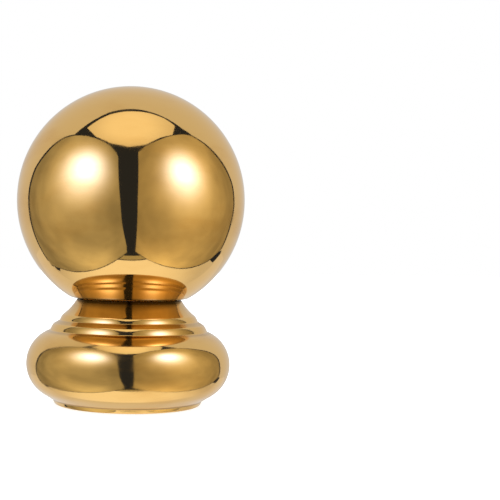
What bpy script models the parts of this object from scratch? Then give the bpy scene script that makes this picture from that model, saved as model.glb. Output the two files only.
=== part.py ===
"""Railing ball finial: a polished ball seated on a hollow turned base that takes a round rail post."""

import math

import bmesh
import bpy

# Driving sizes, in metres. The origin is the middle of the lip's underside, +Z up.
BALL_DIAMETER = 0.100
BALL_GAP = 0.0003

POST_DIAMETER = 0.0635
POST_CLEARANCE = 0.00015
LIP_THICKNESS = 0.0009
LIP_HEIGHT = 0.0020
LIP_ROUND = 0.0005
LIP_LEAN = math.radians(15)

BULGE_OVERHANG = 0.01283
BULGE_ROUND = 0.01466
BULGE_FOOT_ANGLE = math.radians(59.4)
BULGE_TOP_ANGLE = math.radians(72.4)

# The stepped part over the bulge, from below: how far each step goes up and how far it goes in.
LOWER_BEAD_RISE = 0.00312
LOWER_BEAD_INSET = 0.00179
GROOVE_RISE = 0.00145
GROOVE_INSET = 0.00215
UPPER_BEAD_RISE = 0.00280
UPPER_BEAD_INSET = 0.00170
NECK_RISE = 0.00530
NECK_INSET = 0.00550
BEAD_CROWN = 0.00006
WALL = 0.0015

# Fineness of the round surfaces.
SEGMENTS = 64
BALL_RINGS = 24
BULGE_SPANS = 16
INSIDE_SPANS = 11
LIP_SPANS = 4
BEAD_SPANS = 3
CREASE_ANGLE = math.radians(25)
MERGE_DISTANCE = 0.00001

POLISHED_BRASS = (0.90, 0.60, 0.22, 1.0)
BALL_ROUGHNESS = 0.05
BASE_ROUGHNESS = 0.08


def on_circle(centre, radius, angle):
    """The point of a circle at an angle above the outward direction."""
    return centre[0] + radius * math.cos(angle), centre[1] + radius * math.sin(angle)


def arc(centre, radius, start, end, spans):
    """Points along a circle from one angle to another, both ends included."""
    return [on_circle(centre, radius, start + (end - start) * i / spans) for i in range(spans + 1)]


def step_up(point, inset, rise):
    """The point further in and further up."""
    return point[0] - inset, point[1] + rise


def crowned(top, foot, crown, spans):
    """Points from a bead's top edge to its foot, bowed outward by a little in the middle."""
    across, down = foot[0] - top[0], foot[1] - top[1]
    size = math.hypot(across, down)
    out = (-down / size, across / size)
    points = []
    for i in range(spans + 1):
        along = i / spans
        bow = 4 * crown * along * (1 - along)
        points.append((top[0] + across * along + out[0] * bow, top[1] + down * along + out[1] * bow))
    return points


# Places on the base's outline, as (distance from the axis, height), from the lip up to the rim under the ball.
POST_RADIUS = POST_DIAMETER / 2
BORE_RADIUS = POST_RADIUS + POST_CLEARANCE
LIP_CENTRE = (BORE_RADIUS + LIP_THICKNESS - LIP_ROUND, LIP_ROUND)
LIP_SIDE = on_circle(LIP_CENTRE, LIP_ROUND, LIP_LEAN)
LIP_TOP = (LIP_SIDE[0] - (LIP_HEIGHT - LIP_SIDE[1]) * math.tan(LIP_LEAN), LIP_HEIGHT)

# The bulge leaves the lip along a straight skirt that runs smoothly into its round.
BULGE_ACROSS = POST_RADIUS + BULGE_OVERHANG - BULGE_ROUND
SKIRT_TOP = BULGE_ACROSS + BULGE_ROUND * math.cos(BULGE_FOOT_ANGLE)
SKIRT_RISE = (SKIRT_TOP - LIP_TOP[0]) / math.tan(BULGE_FOOT_ANGLE)
BULGE_CENTRE = (BULGE_ACROSS, LIP_TOP[1] + SKIRT_RISE + BULGE_ROUND * math.sin(BULGE_FOOT_ANGLE))

LOWER_BEAD_FOOT = on_circle(BULGE_CENTRE, BULGE_ROUND, BULGE_TOP_ANGLE)
LOWER_BEAD_TOP = step_up(LOWER_BEAD_FOOT, LOWER_BEAD_INSET, LOWER_BEAD_RISE)
UPPER_BEAD_FOOT = step_up(LOWER_BEAD_TOP, GROOVE_INSET, GROOVE_RISE)
UPPER_BEAD_TOP = step_up(UPPER_BEAD_FOOT, UPPER_BEAD_INSET, UPPER_BEAD_RISE)
RIM = step_up(UPPER_BEAD_TOP, NECK_INSET, NECK_RISE)

BALL_RADIUS = BALL_DIAMETER / 2
SEAT_RADIUS = BALL_RADIUS + BALL_GAP
BALL_CENTRE = (0.0, RIM[1] + math.sqrt(SEAT_RADIUS**2 - RIM[0]**2))


def outside():
    """The outer side from the rim under the ball down to the lip's flat underside."""
    upper_bead = crowned(UPPER_BEAD_TOP, UPPER_BEAD_FOOT, BEAD_CROWN, BEAD_SPANS)
    lower_bead = crowned(LOWER_BEAD_TOP, LOWER_BEAD_FOOT, BEAD_CROWN, BEAD_SPANS)
    bulge = arc(BULGE_CENTRE, BULGE_ROUND, BULGE_TOP_ANGLE, -BULGE_FOOT_ANGLE, BULGE_SPANS)
    lip = arc(LIP_CENTRE, LIP_ROUND, LIP_LEAN, math.radians(-90), LIP_SPANS)
    return [RIM] + upper_bead + lower_bead + bulge[1:] + [LIP_TOP] + lip


def inside():
    """The inner side from the bore's mouth up the wall of the bulge and the neck to the seat under the ball."""
    bulge = arc(BULGE_CENTRE, BULGE_ROUND - WALL, -BULGE_FOOT_ANGLE, BULGE_TOP_ANGLE, INSIDE_SPANS)
    bore_top = bulge[0][1] - (bulge[0][0] - BORE_RADIUS) / math.tan(BULGE_FOOT_ANGLE)
    neck_slope = math.atan2(NECK_INSET, NECK_RISE)
    shoulder = on_circle(UPPER_BEAD_FOOT, -WALL, neck_slope)
    seat_start = -math.acos((RIM[0] - WALL / math.cos(neck_slope)) / SEAT_RADIUS)
    seat = arc(BALL_CENTRE, SEAT_RADIUS, seat_start, -math.acos(RIM[0] / SEAT_RADIUS), BEAD_SPANS)
    return [(BORE_RADIUS, 0.0), (BORE_RADIUS, bore_top)] + bulge + [shoulder] + seat[:-1]


def polished_brass(name, roughness):
    """A polished brass material."""
    material = bpy.data.materials.new(name)
    material.use_nodes = True
    shader = material.node_tree.nodes["Principled BSDF"]
    shader.inputs["Base Color"].default_value = POLISHED_BRASS
    shader.inputs["Metallic"].default_value = 1.0
    shader.inputs["Roughness"].default_value = roughness
    material.diffuse_color = POLISHED_BRASS
    return material


def add_object(name, mesh, material, collection):
    """Puts a mesh in the collection as a named object, smooth but for its creases."""
    mesh.name = name
    mesh.shade_smooth()
    mesh.set_sharp_from_angle(angle=CREASE_ANGLE)
    mesh.materials.clear()
    mesh.materials.append(material)
    part = bpy.data.objects.new(name, mesh)
    collection.objects.link(part)
    return part


def turned_mesh(outline):
    """A closed outline turned once round the Z axis."""
    profile = bmesh.new()
    points = [profile.verts.new((across, 0.0, up)) for across, up in outline]
    for i, point in enumerate(points):
        profile.edges.new((point, points[(i + 1) % len(points)]))
    profile_mesh = bpy.data.meshes.new("outline")
    profile.to_mesh(profile_mesh)
    profile.free()
    blank = bpy.data.objects.new("outline", profile_mesh)
    bpy.context.scene.collection.objects.link(blank)
    screw = blank.modifiers.new("turned", "SCREW")
    screw.axis = "Z"
    screw.angle = math.tau
    screw.steps = SEGMENTS
    screw.render_steps = SEGMENTS
    screw.use_merge_vertices = True
    screw.merge_threshold = MERGE_DISTANCE
    depsgraph = bpy.context.evaluated_depsgraph_get()
    turned = bpy.data.meshes.new_from_object(blank.evaluated_get(depsgraph))
    bpy.data.objects.remove(blank)
    return turned


def make_ball(collection):
    """The ball, as a full sphere just clear of its seat."""
    sphere = bmesh.new()
    bmesh.ops.create_uvsphere(sphere, u_segments=SEGMENTS, v_segments=BALL_RINGS, radius=BALL_RADIUS)
    mesh = bpy.data.meshes.new("ball")
    sphere.to_mesh(mesh)
    sphere.free()
    ball = add_object("ball", mesh, polished_brass("ball_brass", BALL_ROUGHNESS), collection)
    ball.location = (0.0, 0.0, BALL_CENTRE[1])
    return ball


def make_base(collection):
    """The hollow base: neck, two beads, bulge, skirt and lip as one turned wall."""
    mesh = turned_mesh(outside() + inside())
    return add_object("base", mesh, polished_brass("base_brass", BASE_ROUGHNESS), collection)


def main():
    for old in list(bpy.data.objects):
        bpy.data.objects.remove(old, do_unlink=True)
    collection = bpy.data.collections.new("railing_ball_finial")
    bpy.context.scene.collection.children.link(collection)
    make_base(collection)
    make_ball(collection)


main()
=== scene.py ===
"""Railing ball finial in polished brass: the fine surfaces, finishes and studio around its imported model."""

import math

import bmesh
import bpy
import numpy as np
from bpy.props import FloatProperty, FloatVectorProperty, IntProperty, PointerProperty
from mathutils import Matrix, Vector


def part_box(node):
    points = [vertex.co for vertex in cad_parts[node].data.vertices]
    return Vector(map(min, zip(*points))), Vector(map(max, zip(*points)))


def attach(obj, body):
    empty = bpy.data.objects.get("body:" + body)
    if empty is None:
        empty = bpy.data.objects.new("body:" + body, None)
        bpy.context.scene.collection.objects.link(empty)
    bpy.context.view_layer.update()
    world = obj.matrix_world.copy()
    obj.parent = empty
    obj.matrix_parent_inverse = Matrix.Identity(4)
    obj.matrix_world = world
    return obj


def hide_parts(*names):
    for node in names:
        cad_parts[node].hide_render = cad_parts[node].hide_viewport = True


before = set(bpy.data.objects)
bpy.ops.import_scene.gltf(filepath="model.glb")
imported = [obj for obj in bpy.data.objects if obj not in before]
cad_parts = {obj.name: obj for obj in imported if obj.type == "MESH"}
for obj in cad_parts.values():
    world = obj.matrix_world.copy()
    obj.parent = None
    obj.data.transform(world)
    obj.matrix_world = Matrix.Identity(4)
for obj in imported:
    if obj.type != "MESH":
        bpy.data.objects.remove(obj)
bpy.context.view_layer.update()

bl_info = {
    "name": "Railing Ball Finial",
    "version": (1, 0, 0),
    "blender": (4, 5, 0),
    "location": "View3D > Sidebar > Finial",
    "description": "Builds a polished ball finial for a round rail post, with its studio",
    "category": "Add Mesh",
}

BALL_LOW, BALL_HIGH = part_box("ball")


def length(name, description, default, **more):
    """A size in metres, shown in the scene's own unit."""
    return FloatProperty(name=name, description=description, default=default, min=0.0, precision=5,
                         subtype="DISTANCE", unit="LENGTH", **more)


def angle(name, description, degrees):
    """An angle that is given in degrees."""
    return FloatProperty(name=name, description=description, default=math.radians(degrees),
                         subtype="ANGLE", unit="ROTATION")


def share(name, description, default, top=1.0):
    """A plain number from nothing up to a top value."""
    return FloatProperty(name=name, description=description, default=default, min=0.0, max=top, precision=3)


def colour(name, description, default):
    """A linear colour."""
    return FloatVectorProperty(name=name, description=description, default=default, size=3, min=0.0, max=1.0,
                               subtype="COLOR")


class FinialShape(bpy.types.PropertyGroup):
    """Sizes of the ball and of the turned base under it."""

    ball_diameter: length("Ball diameter", "Across the ball", BALL_HIGH.x - BALL_LOW.x)
    ball_height: length("Ball height", "Middle of the ball above the lip's underside",
                        (BALL_LOW.z + BALL_HIGH.z) / 2)
    ball_flat: length("Ball flat", "Where the underside starts to flatten, above its lowest point", 0.0068)
    flat_edge: length("Flat edge", "How softly the ball rounds over into its flat", 0.0006)
    seat_lift: length("Seat lift", "How much the flat raises the ball's underside at the rim", 0.0013)
    seat_gap: length("Seat gap", "Gap between the ball and the rim that it sits on", 0.0003)
    post_diameter: length("Post diameter", "Rail post that the base goes over", 0.0635)
    post_clearance: length("Post clearance", "Gap all round the post in the bore", 0.00015)
    lip_thickness: length("Lip thickness", "Wall of the lip at the crease over it", 0.00095)
    lip_height: length("Lip height", "Crease over the lip above the underside", 0.0020)
    lip_swell: length("Lip swell", "How far the lip's side bows out between crease and mouth", 0.00005)
    bulge_overhang: length("Bulge overhang", "Reach of the bulge beyond the post", 0.01283)
    bulge_round: length("Bulge round", "Radius of the bulge's own curve", 0.0151)
    bulge_foot: angle("Bulge foot", "Where the bulge's curve ends below, under level", 59.2)
    bulge_top: angle("Bulge top", "Where the bulge's curve ends above, over level", 70.3)
    lower_bead_rise: length("Lower bead rise", "Height of the lower bead's face", 0.00272)
    lower_bead_inset: length("Lower bead inset", "How far the lower bead's face goes in", 0.00145)
    groove_rise: length("Groove rise", "Height of the step between the beads", 0.00159)
    groove_inset: length("Groove inset", "How far the step between the beads goes in", 0.00271)
    upper_bead_rise: length("Upper bead rise", "Height of the upper bead's face", 0.0024)
    upper_bead_inset: length("Upper bead inset", "How far the upper bead's face goes in", 0.00128)
    bead_crown: length("Bead crown", "How far a bead's face swells in its middle", 0.00008)
    neck_rise: length("Neck rise", "Height of the neck over the beads", 0.0069)
    neck_inset: length("Neck inset", "How far the neck goes in up to the rim", 0.00613)
    neck_hollow: length("Neck hollow", "How far the neck's side bows in", 0.0005)
    wall: length("Wall", "Thickness of the base's metal", 0.0015)
    softness: length("Crease softness", "How far each crease is rounded over", 0.00022)
    segments: IntProperty(name="Segments", description="Faces round each turned piece", default=256, min=48,
                          max=384)
    ball_rings: IntProperty(name="Ball rings", description="Rings of faces up the ball", default=128, min=24,
                            max=192)
    turn_per_face: angle("Turn per face", "Bend of the outline between two rings of faces", 2.4)


class FinialFinish(bpy.types.PropertyGroup):
    """Colour and polish of the metal."""

    brass: colour("Brass", "Colour of the polished metal", (0.94, 0.59, 0.205))
    warm_brass: colour("Warm brass", "Colour where the polish is a little duller", (0.91, 0.54, 0.17))
    ball_roughness: share("Ball roughness", "Blur of what the ball mirrors", 0.045)
    base_roughness: share("Base roughness", "Blur of what the base mirrors", 0.072)
    rub: share("Rub", "How much more the duller places blur what they mirror", 1.4, 5.0)
    line_depth: FloatProperty(name="Line depth", description="Depth of the faint turning lines",
                              default=2.5e-6, min=0.0, max=1e-4, precision=7, subtype="DISTANCE",
                              unit="LENGTH")
    line_spacing: length("Line spacing", "Usual distance between two turning lines", 0.0011)
    smudge_size: length("Smudge size", "Breadth of the duller places in the polish", 0.022)


class FinialStudio(bpy.types.PropertyGroup):
    """Camera, floor and the white screens that the metal mirrors."""

    eye_distance: length("Eye distance", "Camera from the finial's axis", 0.3814)
    eye_height: length("Eye height", "Camera above the underside", 0.0583)
    lens: FloatProperty(name="Lens", description="Focal length in millimetres", default=62.1, min=10.0,
                        max=300.0, subtype="DISTANCE_CAMERA")
    sideways: share("Sideways shift", "Share of the picture that the frame is moved to the right", 0.1987)
    yaw: angle("Yaw", "Turn of the camera to the right of the finial", 1.354)
    pitch: angle("Pitch", "Tilt of the camera upward", 1.35)
    roll: angle("Roll", "Lean of the finial to the right in the picture", 1.04)
    tent_light: share("Tent light", "Brightness of the white tent round the finial", 0.64)
    screen_light: share("Screen light", "Brightness of the two side screens", 1.0, 3.0)
    ceiling_light: share("Ceiling light", "Brightness of the sheet overhead", 1.02, 2.0)
    sheet_light: share("Sheet light", "Brightness of the white sheet on the ground", 1.02, 2.0)
    lamp_light: share("Lamp light", "Brightness of a lamp's glow on a side screen", 5.3, 20.0)
    lamp_tint: colour("Lamp tint", "Cold colour of the lamps, which brass turns to white", (0.22, 0.35, 1.0))
    halo_light: share("Halo light", "Brightness of the wide glow round a lamp", 0.9, 5.0)
    gap_light: share("Gap light", "Brightness of the dark room between the screens", 0.052)
    gap_tint: colour("Gap tint", "Colour cast of the dark room", (0.42, 0.54, 1.0))
    hem: length("Dark hem", "Breadth of the dark hem round each side screen", 0.019)
    back_light: share("Back light", "Brightness of the floor behind the ground sheet", 0.72)
    front_light: share("Front light", "Brightness of the floor before the ground sheet", 0.40)
    front_tint: colour("Front tint", "Colour cast of the floor before the ground sheet", (1.0, 0.95, 0.68))
    floor_light: share("Floor light", "Glow of the floor that the finial stands on", 0.80)
    floor_white: colour("Floor white", "Colour of the floor that the finial stands on", (0.93, 0.93, 0.93))


# The outline of the base. A place on it is (distance from the axis, height).

BOW_SPANS = 16
STEPS_PER_SOFTNESS = 3
LONGEST_FACE = 0.0015
MERGE_DISTANCE = 0.000002


def on_circle(centre, radius, turn):
    """The point of a circle at an angle above the outward direction."""
    return centre[0] + radius * math.cos(turn), centre[1] + radius * math.sin(turn)


def arc(centre, radius, start, end):
    """Points along a circle, about one for each degree, both ends included."""
    spans = max(2, math.ceil(abs(math.degrees(end - start))))
    return [on_circle(centre, radius, start + (end - start) * i / spans) for i in range(spans + 1)]


def step_up(point, inset, rise):
    """The point further in and further up."""
    return point[0] - inset, point[1] + rise


def bowed(top, foot, bow):
    """Points from the top of a side to its foot, bowed outward in the middle, or inward by a negative bow."""
    across, down = foot[0] - top[0], foot[1] - top[1]
    size = math.hypot(across, down)
    points = []
    for i in range(BOW_SPANS + 1):
        along = i / BOW_SPANS
        out = 4 * bow * along * (1 - along) / size
        points.append((top[0] + across * along - down * out, top[1] + down * along + across * out))
    return points


def lip_side(shape):
    """The lip's side, from its crease under the bulge down to the bore's mouth."""
    bore = shape.post_diameter / 2 + shape.post_clearance
    return bowed((bore + shape.lip_thickness, shape.lip_height), (bore, 0.0), shape.lip_swell)


def corners(shape):
    """The middle of the bulge's curve, then the corners over it from below: the two beads and the rim."""
    across = shape.post_diameter / 2 + shape.bulge_overhang - shape.bulge_round
    crease = lip_side(shape)[0]
    skirt_reach = across + shape.bulge_round * math.cos(shape.bulge_foot) - crease[0]
    skirt_rise = skirt_reach / math.tan(shape.bulge_foot)
    bulge = (across, crease[1] + skirt_rise + shape.bulge_round * math.sin(shape.bulge_foot))
    lower_foot = on_circle(bulge, shape.bulge_round, shape.bulge_top)
    lower_top = step_up(lower_foot, shape.lower_bead_inset, shape.lower_bead_rise)
    upper_foot = step_up(lower_top, shape.groove_inset, shape.groove_rise)
    upper_top = step_up(upper_foot, shape.upper_bead_inset, shape.upper_bead_rise)
    rim = step_up(upper_top, shape.neck_inset, shape.neck_rise)
    return bulge, lower_foot, lower_top, upper_foot, upper_top, rim


def outside(shape):
    """The outer side of the base's wall, from the rim under the ball down to the bore's mouth."""
    bulge, lower_foot, lower_top, upper_foot, upper_top, rim = corners(shape)
    neck = bowed(rim, upper_top, -shape.neck_hollow)
    upper_bead = bowed(upper_top, upper_foot, shape.bead_crown)
    lower_bead = bowed(lower_top, lower_foot, shape.bead_crown)
    round_side = arc(bulge, shape.bulge_round, shape.bulge_top, -shape.bulge_foot)
    return neck + upper_bead[1:] + lower_bead + round_side[1:] + lip_side(shape)


def inside(shape):
    """The inner side of the base's wall, from the top of the bore up to the seat under the ball."""
    bulge, _, _, upper_foot, _, rim = corners(shape)
    bore = shape.post_diameter / 2 + shape.post_clearance
    round_side = arc(bulge, shape.bulge_round - shape.wall, -shape.bulge_foot, shape.bulge_top)
    bore_top = round_side[0][1] - (round_side[0][0] - bore) / math.tan(shape.bulge_foot)
    neck_slope = math.atan2(shape.neck_inset, shape.neck_rise)
    shoulder = on_circle(upper_foot, -shape.wall, neck_slope)
    seat_middle = (0.0, shape.ball_height + shape.seat_lift)
    seat_radius = shape.ball_diameter / 2 + shape.seat_gap
    seat_start = -math.acos((rim[0] - shape.wall / math.cos(neck_slope)) / seat_radius)
    seat = arc(seat_middle, seat_radius, seat_start, -math.acos(rim[0] / seat_radius))
    return [(bore, bore_top)] + round_side + [shoulder] + seat[:-1]


def softened(outline, softness, turn_per_face):
    """The same closed outline with every crease rounded over, and points only where it bends."""
    closed = np.array(outline + outline[:1])
    lengths = np.linalg.norm(np.diff(closed, axis=0), axis=1)
    along = np.concatenate(([0.0], np.cumsum(lengths)))
    step = softness / STEPS_PER_SOFTNESS
    count = int(along[-1] / step)
    even = np.arange(count) * along[-1] / count
    points = np.stack([np.interp(even, along, closed[:, i]) for i in (0, 1)], axis=1)
    offsets = np.arange(-4 * STEPS_PER_SOFTNESS, 4 * STEPS_PER_SOFTNESS + 1)
    weights = np.exp(-0.5 * (offsets / STEPS_PER_SOFTNESS) ** 2)
    weights /= weights.sum()
    smooth = sum(weight * np.roll(points, offset, axis=0) for weight, offset in zip(weights, offsets))
    ahead = np.roll(smooth, -1, axis=0) - smooth
    heading = np.unwrap(np.arctan2(ahead[:, 1], ahead[:, 0]))
    kept = [0]
    for i in range(1, count):
        bends = abs(heading[i] - heading[kept[-1]]) >= turn_per_face
        if bends or (i - kept[-1]) * step > LONGEST_FACE:
            kept.append(i)
    return [tuple(smooth[i]) for i in kept]


def lift_of_flat(shape, height):
    """How far the ball's flat raises a point of the ball that lies at a height from the ball's middle."""
    under = shape.ball_flat - shape.ball_diameter / 2 - height
    return min((under + math.hypot(under, shape.flat_edge)) / 2, shape.seat_lift)


# Meshes and objects.


def turned_mesh(name, outline, segments):
    """A closed outline turned once round the Z axis."""
    mesh = bmesh.new()
    points = [mesh.verts.new((across, 0.0, up)) for across, up in outline]
    edges = [mesh.edges.new((a, b)) for a, b in zip(points, points[1:] + points[:1])]
    bmesh.ops.spin(mesh, geom=points + edges, cent=(0, 0, 0), axis=(0, 0, 1), angle=math.tau, steps=segments,
                   use_merge=True, use_normal_flip=False)
    bmesh.ops.remove_doubles(mesh, verts=mesh.verts, dist=MERGE_DISTANCE)
    bmesh.ops.recalc_face_normals(mesh, faces=mesh.faces)
    return smooth_data(name, mesh)


def smooth_data(name, mesh):
    """A finished edit mesh as smooth-shaded mesh data."""
    data = bpy.data.meshes.new(name)
    mesh.to_mesh(data)
    mesh.free()
    data.shade_smooth()
    return data


def show(name, data, collection_name):
    """Puts a mesh in a collection as a new object, in place of an older one of that name."""
    old = bpy.data.objects.get(name)
    if old is not None:
        bpy.data.objects.remove(old)
    collection = bpy.data.collections.get(collection_name)
    if collection is None:
        collection = bpy.data.collections.new(collection_name)
        bpy.context.scene.collection.children.link(collection)
    piece = bpy.data.objects.new(name, data)
    collection.objects.link(piece)
    return piece


def dress(piece, material, node):
    """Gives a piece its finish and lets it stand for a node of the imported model."""
    piece.data.materials.clear()
    piece.data.materials.append(material)
    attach(piece, "root")
    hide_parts(node)


def flat_piece(name, outline, material):
    """A flat piece of the studio."""
    data = bpy.data.meshes.new(name)
    data.from_pydata([tuple(corner) for corner in outline], [], [tuple(range(len(outline)))])
    data.materials.append(material)
    return show(name, data, "studio")


def card(name, outline, material):
    """A flat screen that only the metal's mirroring shows."""
    screen = flat_piece(name, outline, material)
    screen.visible_camera = False
    screen.visible_diffuse = False
    screen.visible_shadow = False
    screen.visible_transmission = False


def oblong(left, right, low, high):
    """The corners of an oblong, as (right, back) or as (right, up)."""
    return [(left, low), (right, low), (right, high), (left, high)]


def level(outline, height):
    """An outline of (right, back) laid level at a height."""
    return [(x, y, height) for x, y in outline]


# Materials.

WHITE = (1.0, 1.0, 1.0)
# How the noises of the polish are stretched: long lines round the axis, and smudges broader than high.
LINE_STRETCH = (0.05, 0.05, 1.0)
SMUDGE_STRETCH = (0.6, 0.6, 1.6)
SMUDGE_SHADE = 0.96
# Softness of each painted shade band's edges, and how much more the metal blurs where painted shade darkens
# it.
CREVICE_EDGE = 0.0002
CREVICE_BLUR = 2.4
# A side screen's tone falls off from its middle over this reach, and its foot is lit round this height.
SCREEN_MIDDLE = 0.26
SCREEN_FOOT = (0.21, -0.27)
SCREEN_FOOT_SPREAD = (0.17, 0.17, 0.14)
CLOUD_SCALE = 9.0


class Nodes:
    """Short ways to add and join a material's nodes."""

    def __init__(self, tree):
        self.tree = tree

    def add(self, kind, inputs=None, **settings):
        node = self.tree.nodes.new(kind)
        for key, value in settings.items():
            setattr(node, key, value)
        for key, value in (inputs or {}).items():
            if isinstance(value, bpy.types.NodeSocket):
                self.tree.links.new(value, node.inputs[key])
            else:
                node.inputs[key].default_value = value
        return node

    def maths(self, operation, *values):
        return self.add("ShaderNodeMath", dict(enumerate(values)), operation=operation).outputs[0]

    def vector(self, operation, *values):
        node = self.add("ShaderNodeVectorMath", dict(enumerate(values)), operation=operation)
        return node.outputs["Value" if operation in ("DISTANCE", "DOT_PRODUCT") else "Vector"]

    def ranged(self, value, low, high, to_low, to_high, smooth=False):
        """A value read between two others, linearly or with soft ends."""
        inputs = {"Value": value, "From Min": low, "From Max": high, "To Min": to_low, "To Max": to_high}
        kind = "SMOOTHSTEP" if smooth else "LINEAR"
        return self.add("ShaderNodeMapRange", inputs, interpolation_type=kind).outputs["Result"]

    def glow(self, place, middle, breadth):
        """One at the middle, fading softly to nothing over a breadth in each direction."""
        away = self.vector("DIVIDE", self.vector("SUBTRACT", place, tuple(middle)), breadth)
        return self.maths("EXPONENT", self.maths("MULTIPLY", self.vector("DOT_PRODUCT", away, away), -1.0))

    def noise(self, vector, scale, detail=2.0, roughness=0.5):
        inputs = {"Vector": vector, "Scale": scale, "Detail": detail, "Roughness": roughness}
        return self.add("ShaderNodeTexNoise", inputs).outputs["Fac"]

    def blend(self, factor, first, second):
        """One linear colour blended into another."""
        node = self.add("ShaderNodeMix", {"Factor": factor}, data_type="RGBA")
        node.inputs["A"].default_value = (*first, 1.0)
        node.inputs["B"].default_value = (*second, 1.0)
        return node.outputs["Result"]

    def light(self, tint, strength):
        """A glow, of a fixed colour or of a colour from another node."""
        shade = tint if isinstance(tint, bpy.types.NodeSocket) else (*tint, 1.0)
        return self.add("ShaderNodeEmission", {"Color": shade, "Strength": strength}).outputs[0]

    def sum_of(self, first, second):
        """Two shaders on top of each other."""
        return self.add("ShaderNodeAddShader", {0: first, 1: second}).outputs[0]

    def surface(self, shader):
        self.add("ShaderNodeOutputMaterial", {"Surface": shader})


def new_material(name):
    """An empty material of that name, in place of an older one."""
    old = bpy.data.materials.get(name)
    if old is not None:
        bpy.data.materials.remove(old)
    material = bpy.data.materials.new(name)
    material.use_nodes = True
    material.node_tree.nodes.clear()
    return material


def polished_brass(name, finish, roughness, painted_shades):
    """Mirror-bright brass with faint turning lines and duller places, darkened by painted shade in the seam
    and crevices.

    Each painted shade band is (its foot, its top, share of the colour left at its foot, share left at its
    top).
    """
    material = new_material(name)
    nodes = Nodes(material.node_tree)
    place = nodes.add("ShaderNodeTexCoord").outputs["Object"]
    stretched = nodes.vector("MULTIPLY", place, LINE_STRETCH)
    lines = nodes.noise(stretched, 1 / finish.line_spacing, detail=3.0, roughness=0.6)
    broad = nodes.vector("MULTIPLY", place, SMUDGE_STRETCH)
    smudge = nodes.noise(broad, 1 / finish.smudge_size, detail=4.0, roughness=0.55)
    patchy = nodes.ranged(smudge, 0.45, 0.72, 0.0, 1.0, smooth=True)
    tint = nodes.blend(patchy, finish.brass, finish.warm_brass)

    height = nodes.add("ShaderNodeSeparateXYZ", {"Vector": place}).outputs["Z"]
    left = nodes.ranged(patchy, 0.0, 1.0, 1.0, SMUDGE_SHADE)
    # Painted shade: each band darkens the colour, standing in for the shadow in the seam and the crevices.
    for low, high, low_share, high_share in painted_shades:
        over_foot = nodes.ranged(height, low - CREVICE_EDGE, low + CREVICE_EDGE, 0.0, 1.0)
        under_top = nodes.ranged(height, high - CREVICE_EDGE, high + CREVICE_EDGE, 1.0, 0.0)
        within = nodes.maths("MULTIPLY", over_foot, under_top)
        lost = nodes.ranged(height, low, high, 1 - low_share, 1 - high_share)
        left_here = nodes.maths("SUBTRACT", 1.0, nodes.maths("MULTIPLY", within, lost))
        left = nodes.maths("MULTIPLY", left, left_here)
    brass = nodes.vector("MULTIPLY", tint, left)

    streaks = nodes.ranged(lines, 0.3, 0.7, 0.8, 1.25)
    dull = nodes.maths("MULTIPLY_ADD", patchy, roughness * finish.rub, roughness)
    # Where the painted shade darkens the colour, the metal is also blurred more.
    in_painted_shade = nodes.ranged(left, 0.6, 0.92, CREVICE_BLUR, 1.0)
    rough = nodes.maths("MULTIPLY", nodes.maths("MULTIPLY", dull, streaks), in_painted_shade)
    bump = nodes.add("ShaderNodeBump", {"Height": lines, "Strength": 1.0, "Distance": finish.line_depth})
    shader = nodes.add("ShaderNodeBsdfPrincipled", {"Base Color": brass, "Metallic": 1.0, "Roughness": rough,
                                                    "Normal": bump.outputs["Normal"]})
    nodes.surface(shader.outputs["BSDF"])
    return material


def card_material(name, strength, tint=WHITE):
    """An evenly glowing screen."""
    material = new_material(name)
    nodes = Nodes(material.node_tree)
    nodes.surface(nodes.light(tint, strength))
    return material


def screen_material(name, studio, side):
    """A side screen: a soft mid tone with one lamp's glow, brighter low down where the sheet lights it."""
    material = new_material(name)
    nodes = Nodes(material.node_tree)
    place = nodes.add("ShaderNodeTexCoord").outputs["Object"]
    along = nodes.vector("DISTANCE", nodes.vector("MULTIPLY", place, (1, 1, 0)), (*side["foot"], 0.0))
    from_middle = nodes.maths("ABSOLUTE", nodes.maths("SUBTRACT", along, SCREEN_MIDDLE))
    edge_tone = side["tone"] * side["edge"]
    tone = nodes.ranged(from_middle, 0.0, SCREEN_MIDDLE, side["tone"], edge_tone, smooth=True)
    cloud = nodes.ranged(nodes.noise(place, CLOUD_SCALE), 0.3, 0.7, 0.84, 1.16)
    foot = nodes.glow(place, on_screen(side, *SCREEN_FOOT), SCREEN_FOOT_SPREAD)
    foot = nodes.maths("MULTIPLY", foot, side["foot_light"])
    tone = nodes.maths("ADD", nodes.maths("MULTIPLY", tone, cloud), foot)
    tone = nodes.maths("MULTIPLY", tone, studio.screen_light)

    core = nodes.glow(place, on_screen(side, *side["lamp"]), side["spread"])
    halo = nodes.glow(place, on_screen(side, *side["halo"]), side["halo_spread"])
    halo = nodes.maths("MULTIPLY", halo, studio.halo_light)
    tint = nodes.blend(nodes.ranged(halo, 0.0, 0.8, 0.0, 1.0), side["tint"], WHITE)
    wide = nodes.light(tint, nodes.maths("ADD", tone, halo))
    lamp = nodes.light(studio.lamp_tint, nodes.maths("MULTIPLY", core, studio.lamp_light))
    nodes.surface(nodes.sum_of(wide, lamp))
    return material


def sheet_material(name, strength, middle, near, far, edge_share, tint=WHITE):
    """A pale sheet that glows most round one place and fades to a share of that further out."""
    material = new_material(name)
    nodes = Nodes(material.node_tree)
    place = nodes.add("ShaderNodeTexCoord").outputs["Object"]
    distance = nodes.vector("DISTANCE", place, middle)
    glow = nodes.ranged(distance, near, far, strength, strength * edge_share, smooth=True)
    nodes.surface(nodes.light(tint, glow))
    return material


def ball_painted_shade(shape):
    """Painted shade on the ball's underside just within and just outside the seam."""
    seam = corners(shape)[-1][1]
    return [(seam - 0.001, seam + 0.0006, 0.03, 0.12), (seam + 0.0006, seam + 0.0013, 0.5, 0.95)]


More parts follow.
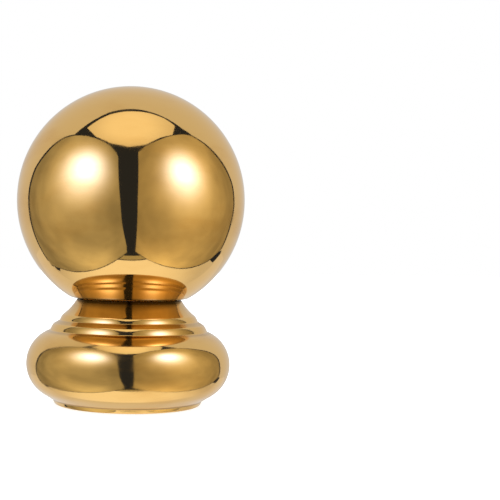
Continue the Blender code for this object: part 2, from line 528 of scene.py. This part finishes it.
def base_painted_shade(shape):
    """Painted shade in the seam, on the neck's side, in the groove, under the lower bead and in the crease
    over the lip.
    """
    _, lower_foot, lower_top, upper_foot, upper_top, rim = (corner[1] for corner in corners(shape))
    return [(rim - 0.0004, rim + 0.0006, 0.08, 0.03),
            (upper_top + 0.0001, rim - 0.0004, 1.0, 0.72),
            (lower_top + 0.0002, upper_foot - 0.0001, 0.85, 0.7),
            (lower_foot - 0.0010, lower_foot - 0.0001, 0.95, 0.65),
            (shape.lip_height - 0.0001, shape.lip_height + 0.0005, 0.4, 0.55)]


# The studio's sheets and screens, in metres, with the finial at the middle and the camera in front. Their
# outlines are chosen by how the ball and the bulge mirror them. A side screen's outline is given as (distance
# along its foot, height), and that of a level sheet as (right, back).

GROUND_HEIGHT = -0.350
CEILING_HEIGHT = 0.375

LEFT_SCREEN = [(-0.060, -0.350), (-0.041, -0.200), (-0.020, -0.060), (-0.008, 0.080), (0.006, 0.180),
               (0.020, 0.282), (0.036, 0.305), (0.080, 0.335), (0.130, 0.347), (0.232, 0.357), (0.314, 0.356),
               (0.374, 0.345), (0.420, 0.310), (0.466, 0.262), (0.527, 0.225), (0.576, 0.150), (0.600, 0.048),
               (0.655, -0.047), (0.748, -0.165), (0.820, -0.240), (0.922, -0.350)]
RIGHT_SCREEN = [(0.006, -0.270), (0.003, -0.150), (-0.003, 0.080), (0.000, 0.200), (0.004, 0.330),
                (0.059, 0.350), (0.137, 0.352), (0.210, 0.362), (0.290, 0.370), (0.345, 0.362),
                (0.380, 0.328), (0.434, 0.275), (0.505, 0.230), (0.605, 0.178), (0.650, 0.100),
                (0.640, 0.015), (0.685, -0.060), (0.765, -0.150), (0.620, -0.195), (0.465, -0.222),
                (0.375, -0.236), (0.290, -0.243), (0.195, -0.255), (0.128, -0.266)]
RIGHT_CORNER = [(0.600, -0.188), (0.727, -0.160), (0.900, -0.185), (1.050, -0.250), (1.000, -0.345)]

# The flap where the left screen spreads on the ground, and the thin dark line and dark corner along its foot.
FLAP_EDGE = [(-0.469, 0.262), (-0.492, 0.309), (-0.533, 0.368), (-0.568, 0.442)]
LEFT_FLAP = [(-0.436, 0.216), *FLAP_EDGE, (-0.610, 0.446)]
LEFT_FLAP_HEIGHT = GROUND_HEIGHT + 0.0010
LEFT_FOOT = [(-0.056, -0.291), (-0.447, 0.229), *FLAP_EDGE, (-0.560, 0.442), (-0.524, 0.368), (-0.492, 0.361),
             (-0.449, 0.316), (-0.462, 0.262), (-0.441, 0.233), (-0.231, -0.047), (-0.051, -0.287)]
LEFT_FOOT_HEIGHT = GROUND_HEIGHT + 0.0005

CEILING = [(-0.182, -0.056), (-0.132, -0.043), (-0.075, -0.029), (-0.013, -0.025), (0.052, -0.024),
           (0.109, -0.027), (0.160, -0.040), (0.176, -0.108), (0.140, -0.182), (0.089, -0.245),
           (0.033, -0.271), (-0.019, -0.283), (-0.078, -0.258), (-0.153, -0.203), (-0.172, -0.137)]
CEILING_GAP = [(-0.256, -0.036), (-0.190, -0.032), (-0.128, -0.024), (-0.077, -0.012), (-0.027, -0.008),
               (0.012, -0.008), (0.067, -0.014), (0.134, -0.021), (0.198, -0.025), (0.256, -0.010),
               (0.240, -0.400), (-0.240, -0.400)]
CEILING_GAP_HEIGHT = CEILING_HEIGHT + 0.005

GROUND_SHEET = [(-0.130, -0.240), (0.180, -0.240), (0.420, 0.000), (0.760, 0.330), (0.658, 0.552),
                (0.445, 0.379), (0.354, 0.300), (0.213, 0.160), (0.117, 0.112), (0.009, 0.093),
                (-0.075, 0.110), (-0.183, 0.165), (-0.300, 0.250), (-0.427, 0.347), (-0.620, 0.500),
                (-0.800, 0.560), (-0.440, 0.180)]
BACK_FLOOR = oblong(-0.9, 0.9, -0.235, 1.2)
BACK_FLOOR_HEIGHT = GROUND_HEIGHT - 0.003
FRONT_LEFT, FRONT_RIGHT = -0.13, 0.15
FRONT_FLOOR = oblong(FRONT_LEFT, FRONT_RIGHT, -0.292, -0.246)
FRONT_FLOOR_HEIGHT = GROUND_HEIGHT - 0.001
# The ground sheet's dark front edge, which leans: its back side is the lower one.
EDGE_BACK = (-0.239, GROUND_HEIGHT - 0.0015)
EDGE_FRONT = (-0.248, GROUND_HEIGHT + 0.0005)
SHEET_EDGE = [(FRONT_LEFT, *EDGE_BACK), (FRONT_RIGHT, *EDGE_BACK),
              (FRONT_RIGHT, *EDGE_FRONT), (FRONT_LEFT, *EDGE_FRONT)]

# The dark room seen between the screens stands upright in front, as (right, up).
DARK_GAP = oblong(-0.25, 0.25, -0.460, 0.42)
DARK_GAP_PLACE = -0.330

# A hem reaches past its screen by this many breadths to the sides, back and up, and stands just behind it.
HEM_REACH = Vector((4.0, 4.0, 0.9))
HEM_BEHIND = 0.003

FLOOR = oblong(-30.0, 30.0, -30.0, 30.0)
FLOOR_HEIGHT = -0.0002
SENSOR_WIDTH = 36.0

# The two side screens: where the foot starts and which way it runs, the brightness and its share at the ends,
# the colour cast, and the places (along, height) and spreads of the lamp and of the wide glow round it.
LEFT = {"foot": (-0.056, -0.291), "way": (-0.342, 0.455), "outline": LEFT_SCREEN,
        "tone": 0.42, "edge": 0.70, "foot_light": 0.36, "tint": (1.0, 0.945, 0.72),
        "lamp": (0.160, 0.181), "spread": (0.066, 0.066, 0.063),
        "halo": (0.165, 0.176), "halo_spread": (0.105, 0.105, 0.105)}
RIGHT = {"foot": (0.031, -0.290), "way": (0.359, 0.454), "outline": RIGHT_SCREEN,
         "tone": 0.52, "edge": 0.62, "foot_light": 0.46, "tint": (1.0, 0.89, 0.60),
         "lamp": (0.193, 0.168), "spread": (0.050, 0.050, 0.055),
         "halo": (0.200, 0.164), "halo_spread": (0.086, 0.086, 0.094)}


def on_screen(side, along, height):
    """The place on a side screen's plane at a distance along its foot."""
    way = Vector(side["way"]).normalized()
    return Vector((side["foot"][0] + way.x * along, side["foot"][1] + way.y * along, height))


def behind_screen(side):
    """The direction straight back from a side screen, away from the finial."""
    way = Vector(side["way"]).normalized()
    back = Vector((-way.y, way.x, 0.0))
    return back if back.x * side["foot"][0] > 0 else -back


# Operators.


class FINIAL_OT_build_ball(bpy.types.Operator):
    """Build the polished ball"""

    bl_idname = "finial.build_ball"
    bl_label = "Build Ball"

    def execute(self, context):
        shape, finish = context.scene.finial_shape, context.scene.finial_finish
        sphere = bmesh.new()
        bmesh.ops.create_uvsphere(sphere, u_segments=shape.segments, v_segments=shape.ball_rings,
                                  radius=shape.ball_diameter / 2)
        for vert in sphere.verts:
            vert.co.z += shape.ball_height + lift_of_flat(shape, vert.co.z)
        ball = show("polished_ball", smooth_data("polished_ball", sphere), "finial")
        polish = polished_brass("ball_brass_polish", finish, finish.ball_roughness, ball_painted_shade(shape))
        dress(ball, polish, "ball")
        return {"FINISHED"}


class FINIAL_OT_build_base(bpy.types.Operator):
    """Build the hollow turned base: neck, two beads, bulge and lip"""

    bl_idname = "finial.build_base"
    bl_label = "Build Base"

    def execute(self, context):
        shape, finish = context.scene.finial_shape, context.scene.finial_finish
        outline = softened(outside(shape) + inside(shape), shape.softness, shape.turn_per_face)
        base = show("turned_base", turned_mesh("turned_base", outline, shape.segments), "finial")
        polish = polished_brass("base_brass_polish", finish, finish.base_roughness, base_painted_shade(shape))
        dress(base, polish, "base")
        return {"FINISHED"}


class FINIAL_OT_build_studio(bpy.types.Operator):
    """Build the pale floor, the screens that the metal mirrors, the light and the camera"""

    bl_idname = "finial.build_studio"
    bl_label = "Build Studio"

    def execute(self, context):
        studio = context.scene.finial_studio
        self.build_floor(studio)
        dark = card_material("dark_room", studio.gap_light, studio.gap_tint)
        self.build_screens(studio, dark)
        self.build_sheets(studio, dark)
        self.build_world(context, studio)
        self.build_camera(context, studio)
        context.scene.view_settings.view_transform = "Standard"
        return {"FINISHED"}

    def build_floor(self, studio):
        """A pale floor that reaches past the horizon, seen as white with a faint shadow under the lip."""
        material = new_material("pale_floor")
        nodes = Nodes(material.node_tree)
        matt = nodes.add("ShaderNodeBsdfDiffuse", {"Color": (*studio.floor_white, 1.0)})
        nodes.surface(nodes.sum_of(matt.outputs[0], nodes.light(WHITE, studio.floor_light)))
        floor = flat_piece("floor", level(FLOOR, FLOOR_HEIGHT), material)
        floor.visible_glossy = False

    def build_screens(self, studio, dark):
        """The two side screens with their lamps, their dark hems and what lies at their feet."""
        for name, side in (("left", LEFT), ("right", RIGHT)):
            outline = [on_screen(side, along, height) for along, height in side["outline"]]
            middle = sum(outline, Vector()) / len(outline)
            outward = [(corner - middle).normalized() * HEM_REACH * studio.hem for corner in outline]
            behind = behind_screen(side) * HEM_BEHIND
            card(name + "_screen", outline, screen_material(name + "_screen", studio, side))
            card(name + "_hem", [corner + out + behind for corner, out in zip(outline, outward)], dark)
        card("left_flap", level(LEFT_FLAP, LEFT_FLAP_HEIGHT), bpy.data.materials["left_screen"])
        card("left_foot", level(LEFT_FOOT, LEFT_FOOT_HEIGHT), dark)
        card("right_corner", [on_screen(RIGHT, *corner) for corner in RIGHT_CORNER], dark)

    def build_sheets(self, studio, dark):
        """The sheets overhead and on the ground, the floor round them and the dark room in front."""
        card("dark_gap", [(x, DARK_GAP_PLACE, z) for x, z in DARK_GAP], dark)
        card("ceiling_gap", level(CEILING_GAP, CEILING_GAP_HEIGHT), dark)
        card("ceiling", level(CEILING, CEILING_HEIGHT),
             sheet_material("ceiling", studio.ceiling_light, (-0.01, -0.13, CEILING_HEIGHT), near=0.06,
                            far=0.19, edge_share=0.76, tint=(1.0, 0.95, 0.82)))
        card("ground_sheet", level(GROUND_SHEET, GROUND_HEIGHT),
             sheet_material("ground_sheet", studio.sheet_light, (0.0, -0.10, GROUND_HEIGHT), near=0.15,
                            far=0.62, edge_share=0.62))
        card("sheet_edge", SHEET_EDGE, dark)
        card("back_floor", level(BACK_FLOOR, BACK_FLOOR_HEIGHT),
             card_material("back_floor", studio.back_light))
        card("front_floor", level(FRONT_FLOOR, FRONT_FLOOR_HEIGHT),
             card_material("front_floor", studio.front_light, studio.front_tint))

    def build_world(self, context, studio):
        """A white backdrop to the eye and to the floor, in a softer tone where the metal mirrors it."""
        world = bpy.data.worlds.new("white_tent")
        context.scene.world = world
        world.use_nodes = True
        world.node_tree.nodes.clear()
        nodes = Nodes(world.node_tree)
        seen = nodes.add("ShaderNodeLightPath")
        tent = nodes.add("ShaderNodeBackground", {"Color": (*WHITE, 1.0), "Strength": studio.tent_light})
        white = nodes.add("ShaderNodeBackground", {"Color": (*WHITE, 1.0), "Strength": 1.0})
        mix = nodes.add("ShaderNodeMixShader", {0: seen.outputs["Is Glossy Ray"], 1: white.outputs[0],
                                                2: tent.outputs[0]})
        nodes.add("ShaderNodeOutputWorld", {"Surface": mix.outputs[0]})

    def build_camera(self, context, studio):
        """The camera at the photograph's place, with the finial left of the picture's middle."""
        level_part = math.cos(studio.pitch)
        ahead = Vector((math.sin(studio.yaw) * level_part, math.cos(studio.yaw) * level_part,
                        math.sin(studio.pitch)))
        side = ahead.cross(Vector((0, 0, 1))).normalized()
        up = side.cross(ahead)
        right = side * math.cos(studio.roll) + up * math.sin(studio.roll)
        top = up * math.cos(studio.roll) - side * math.sin(studio.roll)
        data = bpy.data.cameras.new("camera")
        data.lens, data.sensor_width, data.shift_x = studio.lens, SENSOR_WIDTH, studio.sideways
        data.clip_start, data.clip_end = 0.01, 100.0
        camera = bpy.data.objects.new("camera", data)
        context.scene.collection.objects.link(camera)
        turn = Matrix((right, top, -ahead)).transposed()
        place = Matrix.Translation((0.0, -studio.eye_distance, studio.eye_height))
        camera.matrix_world = place @ turn.to_4x4()
        context.scene.camera = camera


class FINIAL_PT_panel(bpy.types.Panel):
    """The finial's sizes, finishes and studio, with a button to build each"""

    bl_idname = "FINIAL_PT_panel"
    bl_label = "Ball Finial"
    bl_space_type = "VIEW_3D"
    bl_region_type = "UI"
    bl_category = "Finial"

    def draw(self, context):
        scene = context.scene
        for title, settings in (("Shape", scene.finial_shape), ("Finish", scene.finial_finish),
                                ("Studio", scene.finial_studio)):
            box = self.layout.box()
            box.label(text=title)
            for key in settings.__annotations__:
                box.prop(settings, key)
        for operator in OPERATORS:
            self.layout.operator(operator.bl_idname)


GROUPS = {"finial_shape": FinialShape, "finial_finish": FinialFinish, "finial_studio": FinialStudio}
OPERATORS = (FINIAL_OT_build_base, FINIAL_OT_build_ball, FINIAL_OT_build_studio)


def register():
    for cls in (*GROUPS.values(), *OPERATORS, FINIAL_PT_panel):
        bpy.utils.register_class(cls)
    for key, group in GROUPS.items():
        setattr(bpy.types.Scene, key, PointerProperty(type=group))


def unregister():
    for key in GROUPS:
        delattr(bpy.types.Scene, key)
    for cls in (FINIAL_PT_panel, *reversed(OPERATORS), *reversed(GROUPS.values())):
        bpy.utils.unregister_class(cls)


def main():
    register()
    bpy.ops.finial.build_base()
    bpy.ops.finial.build_ball()
    bpy.ops.finial.build_studio()


if __name__ == "__main__":
    main()
